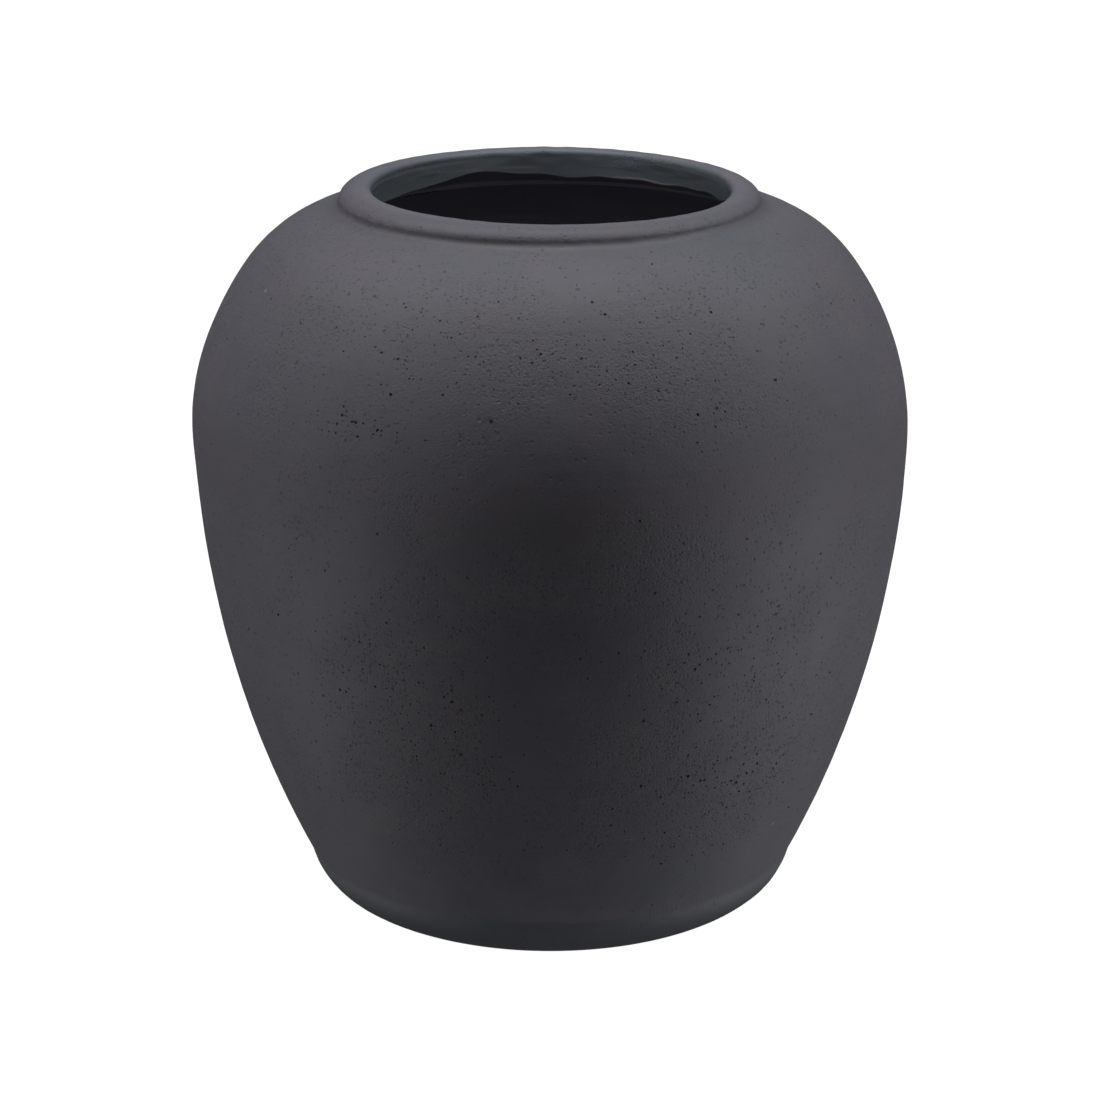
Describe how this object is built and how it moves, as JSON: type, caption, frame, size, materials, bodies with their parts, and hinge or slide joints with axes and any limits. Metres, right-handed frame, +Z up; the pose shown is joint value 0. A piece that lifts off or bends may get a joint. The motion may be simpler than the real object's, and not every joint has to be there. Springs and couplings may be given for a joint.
{
  "type": "clay pot",
  "caption": "Wide-shouldered black clay pot with a rolled lip around a round mouth, a rounded foot band and a flat base; matte, finely pitted fired clay.",
  "frame": {"origin": "middle of the foot's underside, on the surface the pot stands on", "axes": "+Z up along the pot's axis of turning, out of the mouth"},
  "size_m": [0.2919, 0.292, 0.3],
  "materials": {
    "outer_clay": "matte, smoke-fired charcoal black, finely pitted",
    "lip_clay": "matte, smoke-fired charcoal black, rubbed smooth on top",
    "neck_clay": "satin, burnished, blue-green black",
    "raw_clay": "matte, smoke-blackened, unworked"
  },
  "bodies": {
    "root": {"base_slab": "raw_clay", "foot_band": "outer_clay", "floor_coil": "raw_clay", "lower_wall": "outer_clay", "belly_coil": "raw_clay", "shoulder_wall": "outer_clay", "neck_collar": "neck_clay", "rolled_lip": "lip_clay"}
  },
  "joints": []
}
